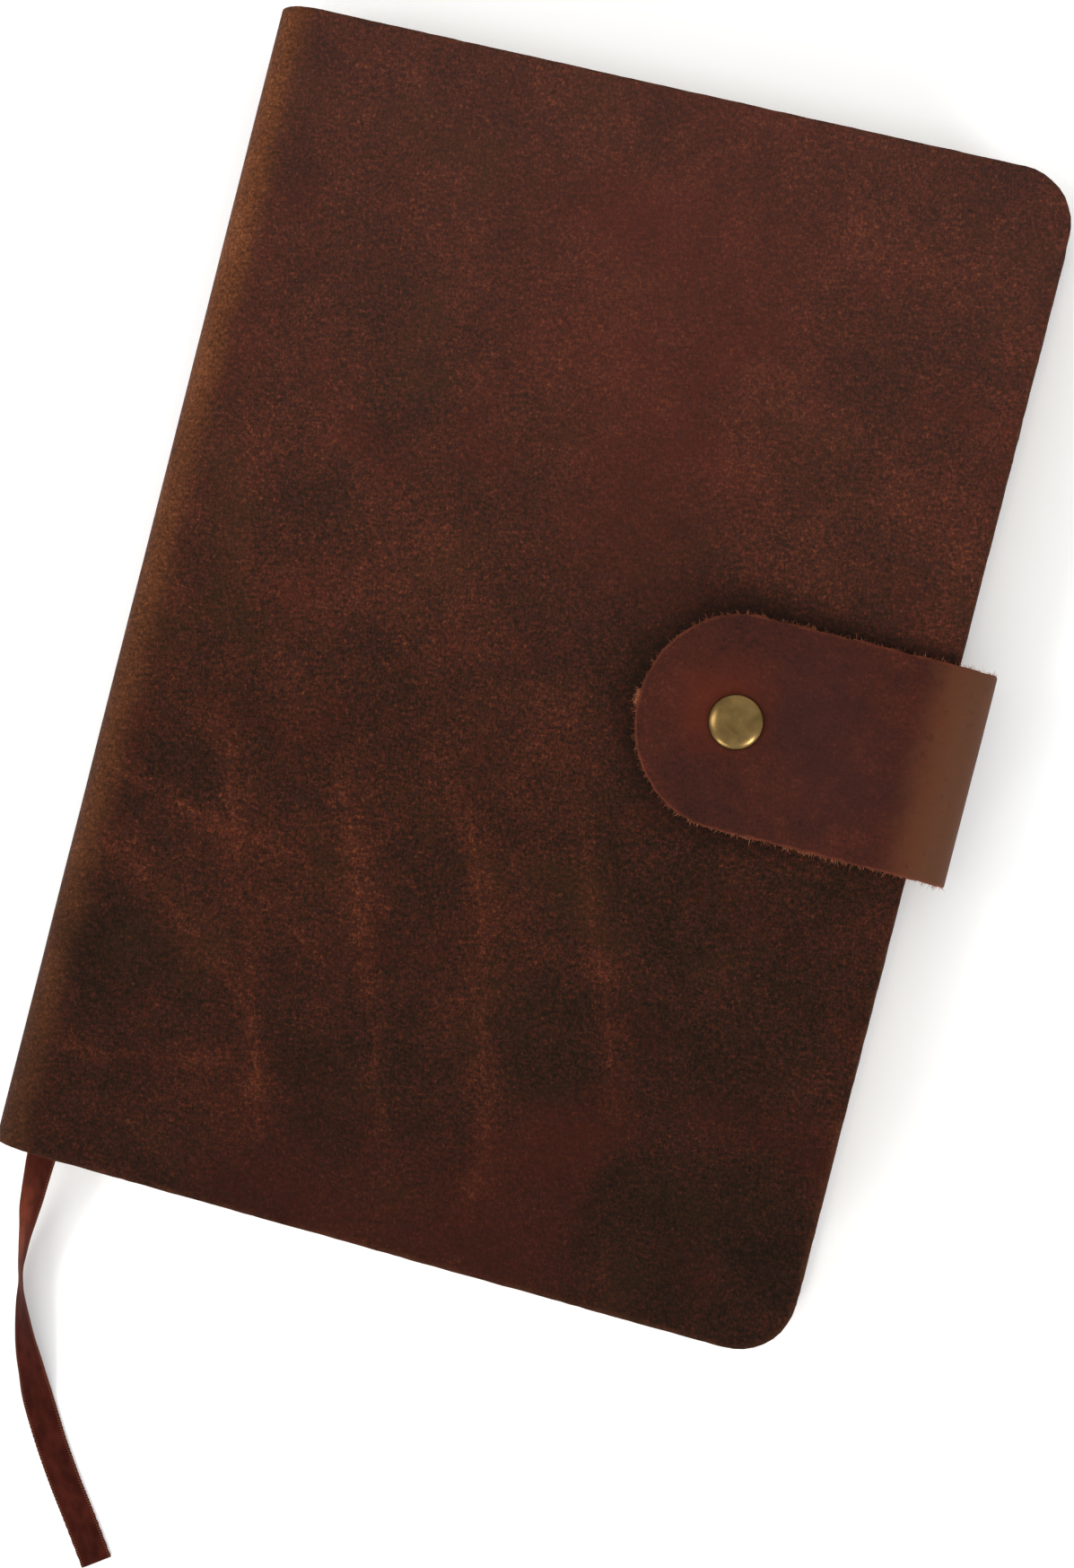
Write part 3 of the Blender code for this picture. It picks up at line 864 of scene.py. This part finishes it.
def patch(n, place, s, y, radius):
    """A soft round patch, 1 at its middle and 0 outside."""
    return n.ramp(n.vector_math("DISTANCE", place, (s, y, 0))["Value"], 0.0, radius, 1.0, 0.0)


def warped(n, vector, scale, amount):
    """The vector pushed about by noise."""
    cloud = n.noise(vector, scale, 3, 0.5, 0.0, "Color")
    shift = n.vector_math("SUBTRACT", cloud, (0.5, 0.5, 0.5))[0]
    return n.vector_math("MULTIPLY_ADD", shift, (amount, amount, 0), vector)[0]


def total(n, values):
    made = values[0]
    for value in values[1:]:
        made = n.plus(made, value)
    return made


def stops(n, value, *rows):
    """A colour that runs through rows of (value, sRGB colour)."""
    node = n.tree.nodes.new("ShaderNodeValToRGB")
    points = node.color_ramp.elements
    while len(points) < len(rows):
        points.new(0.5)
    for point, (position, color) in zip(points, rows):
        point.position = position
        point.color = (*rgb(*color), 1)
    n.plug(node, "Fac", value)
    return node.outputs["Color"]


def weigh(n, start, *rows):
    """start plus each value's distance from 0.5 times its weight."""
    made = start
    for value, weight in rows:
        middle = -0.5 * weight
        base = n.plus(made, middle) if isinstance(made, bpy.types.NodeSocket) else made + middle
        made = n.madd(value, weight, base)
    return made


def leather_nap(n, hide):
    """Two layers of short crossing fibres and one of pores, as numbers round 0.5."""
    one = n.noise(n.place(hide, scale=(1, 0.5, 1), turn=(0, 0, 0.7)), 2500, 3, 0.72, 0.6)
    two = n.noise(n.place(hide, scale=(0.5, 1, 1), turn=(0, 0, -0.5)), 1700, 3, 0.72, 0.6)
    return one, two, n.noise(hide, 430, 4, 0.7, 0.3)


def painted_strap_shade(n, s, y):
    """1 where painted shade of the closed strap darkens the cover, fading out just beyond its outline."""
    bend = TIP_X + STRAP_HALF
    ahead = n.math("MAXIMUM", n.minus(bend, s), 0.0)
    beside = n.math("ABSOLUTE", n.minus(y, 0.0008))
    far = n.math("SQRT", n.plus(n.times(ahead, ahead), n.times(beside, beside)))
    reach = n.ramp(s, bend - 0.012, FORE_X, 0.0082, 0.0026, "LINEAR")
    beyond = n.math("DIVIDE", n.minus(far, STRAP_HALF), reach)
    return n.times(n.ramp(beyond, 1.0, -0.35), n.ramp(s, 0.0, 0.01))


def cover_leather():
    n = Nodes("cover_leather_hide", 0.62, Specular_IOR_Level=0.035)
    hide = n.attribute("hide", "Vector")
    loose = warped(n, hide, 60, 0.012)
    fuzzy = warped(n, warped(n, hide, 60, 0.006), 420, 0.0022)
    s, y, _ = n.split(hide)
    big = n.noise(hide, 15, 3, 0.5, 0.3)
    middle = n.noise(loose, 52, 5, 0.62, 0.4)
    small = n.noise(hide, 170, 5, 0.7)
    one, two, clump = leather_nap(n, hide)
    # creases along the cover, then creases across it
    fuzzy_s, fuzzy_y, _ = n.split(fuzzy)
    veins = total(n, [crease(n, fuzzy_y, fuzzy_s, *line) for line in (
        ((-0.0445, -0.37, -1.5, -0.050), 0.0026, -0.104, -0.014),
        ((-0.0214, -0.42, -1.5, -0.052), 0.0022, -0.098, -0.022),
        ((0.0025, -0.33, -2.8, -0.052), 0.0022, -0.106, -0.016),
        ((0.0237, -0.40, -2.0, -0.048), 0.0020, -0.082, -0.020))])
    cross = total(n, [crease(n, fuzzy_s, fuzzy_y, *line) for line in (
        ((-0.0415, -0.244, 0.0, -0.050), 0.0028, -0.082, -0.022),
        ((-0.0635, -0.70, -5.0, -0.050), 0.0034, -0.080, -0.028),
        ((-0.0560, -0.62, 0.0, -0.034), 0.0022, -0.046, -0.020),
        ((-0.0860, 0.25, 6.0, -0.050), 0.0024, -0.078, -0.030))])
    veins = n.math("MAXIMUM", veins, cross)
    folds = n.cells(n.place(fuzzy, scale=(0.55, 1.0, 1.0), turn=(0, 0, 0.5)), 58,
                    "DISTANCE_TO_EDGE")
    folds = n.ramp(folds, 0.0, 0.20, 1.0, 0.0)
    corner = n.times(n.ramp(y, -0.015, -0.055), n.ramp(s, 0.020, -0.050))
    folds = n.times(folds, corner)
    # patches of (s, y, radius)
    drift = warped(n, fuzzy, 30, 0.045)
    dark = total(n, [patch(n, drift, *spot) for spot in (
        (0.034, -0.056, 0.042), (-0.064, -0.072, 0.032), (-0.062, -0.040, 0.022),
        (0.010, 0.022, 0.028), (-0.045, 0.028, 0.022), (0.054, -0.034, 0.036),
        (-0.044, 0.064, 0.024), (-0.018, -0.076, 0.022), (0.062, -0.088, 0.034),
        (0.030, -0.026, 0.030))])
    red = total(n, [patch(n, drift, *spot) for spot in (
        (0.004, 0.080, 0.046), (0.010, 0.036, 0.030), (0.012, -0.104, 0.034),
        (-0.022, -0.104, 0.026), (0.030, -0.084, 0.018))])
    pale = total(n, [patch(n, fuzzy, *spot) for spot in (
        (0.036, 0.092, 0.011), (0.047, 0.087, 0.009), (0.025, 0.047, 0.009),
        (-0.004, 0.064, 0.022), (0.070, 0.106, 0.007), (-0.034, -0.090, 0.012),
        (0.012, -0.096, 0.012), (0.0, -0.104, 0.022))])
    lines = n.math("MAXIMUM", n.times(veins, n.ramp(small, 0.28, 0.56, 0.45, 1.0)),
                   n.times(folds, 0.35))
    # share runs through the leather's own colours, from its waxy dark to its worn light
    share = weigh(n, 0.465, (one, 1.65), (two, 1.40), (clump, 0.22), (small, 0.40),
                  (middle, 0.58), (big, 0.24))
    # the y term lifts the share towards the head: partly painted light, lighter at the head and darker at the tail
    for value, weight in ((y, 0.70), (lines, 0.24), (pale, 0.09), (dark, -0.085)):
        share = n.madd(value, weight, share)
    color = stops(n, share, (0.0, (21, 14, 9)), (0.30, (36, 22, 13)), (0.52, (56, 27, 18)),
                  (0.74, (75, 35, 22)), (1.0, (106, 56, 33)))
    hue = n.noise(n.place(loose, offset=(3, 1, 0)), 38, 4, 0.6)
    grey = n.noise(n.place(hide, offset=(7, 2, 0)), 620, 3, 0.6)
    # painted shade round and under the closed strap, a little patchy
    shade = n.times(painted_strap_shade(n, s, y), n.ramp(small, 0.2, 0.6, 0.95, 0.72))
    for amount, tone in ((n.ramp(hue, 0.50, 0.72, 0.0, 0.34), (62, 22, 15)),
                         (n.times(red, 0.42), (67, 25, 17)),
                         (n.ramp(grey, 0.52, 0.70, 0.0, 0.35), (46, 30, 26)),
                         (n.ramp(hue, 0.48, 0.28, 0.0, 0.34), (46, 31, 15)),
                         # a pale milky tone towards the head is a painted reflection, and near-black towards the
                         # tail is painted shade
                         (n.ramp(y, -0.02, 0.125, 0.0, 0.20, "LINEAR"), (84, 55, 51)),
                         (n.ramp(y, 0.03, -0.11, 0.0, 0.44, "LINEAR"), (16, 7, 4)),
                         (shade, (20, 14, 10))):
        color = n.mix(amount, color, rgb(*tone))
    # a lighter tan band where the hide rounds the spine: partly pull-up of the bent leather, partly painted light
    # on the curve that faces the lamp
    spine = n.ramp(weigh(n, s, (small, 0.009), (clump, 0.004), (one, 0.005)),
                   ROUND_X + 0.0006, ROUND_X - 0.0062)
    spine = n.times(spine, n.times(n.ramp(s, ROUND_X - 0.007, ROUND_X - 0.019, 1.0, 0.42),
                                   n.ramp(s, BACK_START - 0.004, BACK_START + 0.004)))
    tan = stops(n, share, (0.1, (56, 31, 17)), (0.5, (89, 49, 25)), (0.9, (126, 76, 43)))
    # the spine band too darkens towards the tail: painted shade
    tan = n.mix(n.ramp(y, 0.08, -0.11, 0.0, 0.52, "LINEAR"), tan, rgb(28, 17, 10))
    color = n.mix(n.times(spine, 0.78), color, tan)
    worn = n.times(n.ramp(n.attribute("rim"), 0.0014, 0.0), n.ramp(small, 0.35, 0.7))
    color = n.mix(n.times(worn, 0.45), color, rgb(77, 46, 29))
    color = raw_edges(n, color, hide, rgb(86, 50, 34), rgb(44, 28, 19))
    rough = n.ramp(middle, 0.3, 0.7, 0.72, 0.58, "LINEAR")
    height = total(n, [n.times(one, 0.6), n.times(two, 0.6), clump, n.times(small, 0.8),
                       n.times(lines, 0.4)])
    return n.finish(color, rough, n.bump(height, 0.6, 0.00026))


def raw_edges(n, color, hide, pale, dark):
    """Adds the cut sides' fibrous core and the flesh side's suede."""
    core = n.noise(n.place(hide, scale=(0.3, 0.3, 2.2)), 1600, 4, 0.7, 0.3)
    cut = n.mix(n.ramp(core, 0.34, 0.66), dark, pale)
    color = n.mix(n.ramp(n.attribute("side"), 0.35, 0.95), color, cut)
    suede = n.noise(hide, 1300, 4, 0.7, 0.4)
    inside = n.mix(n.ramp(suede, 0.25, 0.85), dark, pale)
    return n.mix(n.attribute("flesh"), color, inside)


def strap_leather():
    n = Nodes("strap_leather_hide", 0.58, Specular_IOR_Level=0.05)
    hide = n.attribute("hide", "Vector")
    loose = warped(n, hide, 120, 0.004)
    s, _, _ = n.split(hide)
    middle = n.noise(loose, 75, 5, 0.6, 0.3)
    small = n.noise(hide, 300, 5, 0.65)
    one, two, clump = leather_nap(n, hide)
    share = weigh(n, 0.50, (one, 1.15), (two, 0.95), (clump, 0.36), (small, 0.50),
                  (middle, 0.85))
    color = stops(n, share, (0.05, (32, 16, 12)), (0.40, (50, 23, 17)), (0.65, (59, 26, 18)),
                  (1.0, (82, 38, 26)))
    snap_s = STRAP_RUN - (SNAP_X - TIP_X) / math.cos(FLAP_SLOPE)
    bruise = n.plus(patch(n, loose, snap_s - 0.020, -0.004, 0.020),
                    patch(n, loose, snap_s - 0.012, 0.010, 0.014))
    bruise = n.times(bruise, n.ramp(clump, 0.25, 0.65, 0.10, 0.42))
    color = n.mix(bruise, color, rgb(46, 24, 22))
    ring = patch(n, loose, snap_s + 0.003, 0.002, 0.013)
    color = n.mix(n.times(ring, 0.55), color, rgb(84, 32, 17))
    fold_s = WALL_MIDDLE + WALL_RUN / 2 + HIGH_ARC
    frayed = weigh(n, s, (small, 0.006), (one, 0.003))
    fold = n.times(n.ramp(frayed, fold_s + 0.0070, fold_s - 0.0005),
                   n.ramp(frayed, fold_s - 0.0180, fold_s - 0.0085, 0.30, 1.0))
    fold_color = n.mix(n.ramp(s, fold_s + 0.002, fold_s - 0.005), rgb(85, 48, 30),
                       rgb(88, 57, 39))
    fold_color = n.mix(n.ramp(clump, 0.42, 0.28, 0.0, 0.5), fold_color, rgb(43, 24, 16))
    color = n.mix(n.times(fold, 0.70), color, fold_color)
    rim = weigh(n, n.attribute("rim"), (clump, 0.0012), (one, 0.0008))
    worn = n.times(n.ramp(rim, 0.0006, 0.0), n.ramp(small, 0.35, 0.6, 0.35, 1.0))
    color = n.mix(n.times(worn, 0.75), color, rgb(93, 45, 29))
    color = raw_edges(n, color, hide, rgb(110, 59, 42), rgb(64, 32, 21))
    height = total(n, [n.times(one, 0.5), n.times(two, 0.5), clump, n.times(small, 0.8)])
    return n.finish(color, None, n.bump(height, 0.4, 0.00018))


def fibre_material():
    n = Nodes("leather_fibres", 0.8, Specular_IOR_Level=0.1)
    cloud = n.noise(n.place(), 400, 3)
    return n.finish(n.mix(n.ramp(cloud, 0.35, 0.65), rgb(118, 64, 42), rgb(178, 112, 80)))


def satin_material():
    n = Nodes("ribbon_satin", 0.6, Specular_IOR_Level=0.025,
              Specular_Tint=(1.0, 0.42, 0.24, 1.0))
    weave = n.attribute("weave", "Vector")
    t, run, _ = n.split(weave)
    tint = n.noise(n.place(weave, scale=(1.2, 260, 1)), 1.0, 4, 0.6)
    color = n.mix(n.ramp(tint, 0.3, 0.7), rgb(41, 15, 11), rgb(60, 24, 18))
    # painted sheen: a coppery highlight along the upper stretch, strongest towards one edge
    glow = n.times(n.ramp(run, 0.006, 0.023), n.ramp(run, 0.038, 0.024))
    glow = n.times(glow, n.ramp(t, 0.75, -0.3, 0.15, 1.0))
    color = n.mix(n.times(glow, n.ramp(tint, 0.3, 0.6, 0.45, 0.85)), color, rgb(108, 50, 32))
    threads = n.wave(run, 0.00016)
    warp = n.math("SINE", n.times(t, 150.0))
    color = n.mix(n.ramp(threads, 0.2, 1.0, 0.0, 0.30), color, rgb(48, 14, 10))
    edge = n.ramp(n.math("ABSOLUTE", t), 0.80, 0.86)
    dots = n.ramp(n.wave(run, PICOT), -0.1, 0.5)
    picot = n.mix(dots, rgb(20, 7, 6), rgb(110, 60, 44))
    color = n.mix(n.times(edge, 0.8), color, picot)
    rough = n.madd(edge, 0.2, 0.64)
    height = total(n, [n.times(threads, 0.5), n.times(warp, 0.25),
                       n.times(n.times(dots, edge), 1.6)])
    return n.finish(color, rough, n.bump(height, 0.35, 0.00006))


def paper_material(name, light, dark, lines=0.0):
    n = Nodes(name, 0.88, Specular_IOR_Level=0.25)
    place = n.place()
    cloud = n.noise(place, 60, 5, 0.6)
    fibre = n.noise(n.place(scale=(1, 0.4, 1)), 1900, 3, 0.7, 0.6)
    color = n.mix(n.ramp(cloud, 0.3, 0.7, 0.0, 0.13), light, dark)
    color = n.mix(n.ramp(fibre, 0.60, 0.80, 0.0, 0.5), color, dark)
    if lines:
        laid = n.wave(n.split(place)[1], lines)
        color = n.mix(n.ramp(laid, 0.3, 1.0, 0.0, 0.18), color, dark)
    return n.finish(color, None, n.bump(fibre, 0.2, 0.00004))


def board_material():
    n = Nodes("grey_board", 0.92, Specular_IOR_Level=0.2)
    place = n.place()
    cloud = n.noise(place, 180, 5, 0.65)
    flecks = n.noise(n.place(scale=(1, 1, 3)), 1400, 4, 0.75)
    color = n.mix(n.ramp(cloud, 0.3, 0.7), rgb(121, 110, 95), rgb(143, 133, 116))
    color = n.mix(n.ramp(flecks, 0.58, 0.72, 0.0, 0.6), color, rgb(82, 73, 61))
    return n.finish(color, None, n.bump(flecks, 0.5, 0.00010))


def cloth_material(name, light, dark, pitch):
    n = Nodes(name, 0.95, Sheen_Weight=0.2, Specular_IOR_Level=0.2)
    x, y, z = n.split(n.place())
    weave = n.math("MAXIMUM", n.wave(y, pitch), n.wave(n.plus(z, x), pitch))
    cloud = n.noise(n.place(), 700, 4, 0.6)
    color = n.mix(n.ramp(weave, -0.2, 0.7), dark, light)
    color = n.mix(n.ramp(cloud, 0.5, 0.8, 0.0, 0.4), color, dark)
    return n.finish(color, None, n.bump(weave, 0.6, 0.00012))


def brass_material():
    n = Nodes("antique_brass", 0.3, Metallic=1.0)
    place = n.place()
    cloud = n.noise(place, 230, 4, 0.55, 0.4)
    fine = n.noise(n.place(scale=(1, 0.25, 1), turn=(0, 0, 0.7)), 2600, 3, 0.7)
    color = n.mix(n.ramp(cloud, 0.30, 0.70), rgb(96, 76, 44), rgb(126, 102, 62))
    color = n.mix(n.ramp(fine, 0.60, 0.80, 0.0, 0.25), color, rgb(80, 64, 36))
    specks = n.ramp(n.cells(place, 520), 0.0, 0.16, 1.0, 0.0)
    specks = n.times(specks, n.ramp(cloud, 0.5, 0.7))
    color = n.mix(n.times(specks, 0.6), color, rgb(60, 46, 26))
    rough = n.ramp(cloud, 0.3, 0.7, 0.36, 0.24, "LINEAR")
    height = n.madd(fine, 0.4, n.times(specks, -0.6))
    return n.finish(color, rough, n.bump(height, 0.15, 0.00003))


def steel_material():
    n = Nodes("spring_steel", 0.3, Metallic=1.0)
    fine = n.noise(n.place(scale=(1, 1, 0.2)), 3000, 4, 0.7)
    color = n.mix(n.ramp(fine, 0.4, 0.7), rgb(150, 148, 142), rgb(196, 194, 188))
    return n.finish(color, n.ramp(fine, 0.3, 0.7, 0.24, 0.42, "LINEAR"),
                    n.bump(fine, 0.2, 0.00003))


def thread_material():
    n = Nodes("linen_thread", 0.8, Sheen_Weight=0.2)
    x, y, z = n.split(n.place())
    turn = n.plus(n.times(z, math.tau / 0.0007), n.times(n.plus(x, y), 5200.0))
    twist = n.math("SINE", turn)
    color = n.mix(n.ramp(twist, -0.8, 0.6), rgb(176, 160, 124), rgb(232, 222, 196))
    return n.finish(color, None, n.bump(twist, 0.7, 0.0001))


# --- Floor and light
def make_floor():
    corners = [(x, y, -0.0001) for x, y in ((-9, -9), (9, -9), (9, 9), (-9, 9))]
    look = Nodes("plain_floor", 0.9, Specular_IOR_Level=0.1).finish((0.90, 0.90, 0.90))
    mesh_object("floor", corners, [(0, 1, 2, 3)], look, smooth_shade=False)


def area_light(name, place, size, power, color=(1, 1, 1)):
    """A round light that points at the origin."""
    data = bpy.data.lights.new(name, "AREA")
    data.shape = "DISK"
    data.size = size
    data.energy = power
    data.color = color
    item = bpy.data.objects.new(name, data)
    bpy.context.scene.collection.objects.link(item)
    item.location = place
    item.rotation_mode = "QUATERNION"
    item.rotation_quaternion = (-Vector(place)).to_track_quat("-Z", "Y")


def make_light():
    world = bpy.data.worlds.new("studio")
    bpy.context.scene.world = world
    world.use_nodes = True
    background = world.node_tree.nodes["Background"]
    background.inputs["Color"].default_value = (1.0, 1.0, 1.0, 1)
    background.inputs["Strength"].default_value = 0.98
    area_light("key", (-0.95, -0.10, 0.95), 0.6, 7.5, (1.0, 0.985, 0.96))
    area_light("side", (0.75, -0.55, 0.50), 0.35, 4.5)
    area_light("low", (-0.25, -0.85, 0.40), 0.30, 2.5)
    bpy.context.scene.view_settings.view_transform = "Standard"


# --- Build
make_floor()
make_light()
make_marker(satin_material())
hide_look, strap_look, fibre_look = cover_leather(), strap_leather(), fibre_material()
front_hide = make_hide(hide_look)
strap_top = make_strap(strap_look)
make_snap(brass_material(), steel_material())
make_block(paper_material("cream_paper", rgb(212, 200, 170), rgb(184, 168, 134)),
           paper_material("kraft_endpaper", rgb(176, 152, 114), rgb(144, 120, 84), 0.0011))

CARRIED = {
    "board": board_material(),
    "cloth": cloth_material("mull_cloth", rgb(196, 188, 168), rgb(132, 122, 100), 0.0009),
    "thread": thread_material(),
}
for part in frame["record"]["subparts"]:
    look = CARRIED.get(part["material_slot"])
    if look:
        node = frame["nodes"][part["node"]]
        node.data.materials.clear()
        node.data.materials.append(look)

blend_flap(edge_fibres("strap_fibres", strap_top, 1700, fibre_look, 7,
                       lambda p: p.z > MIDDLE, 0.0012, 0.00004))
attach(edge_fibres("cover_fibres", front_hide, 500, fibre_look, 8,
                   lambda p: p.x > ROUND_X + 0.002, 0.0006, 0.000022),
       "front_cover", "cover_leather")
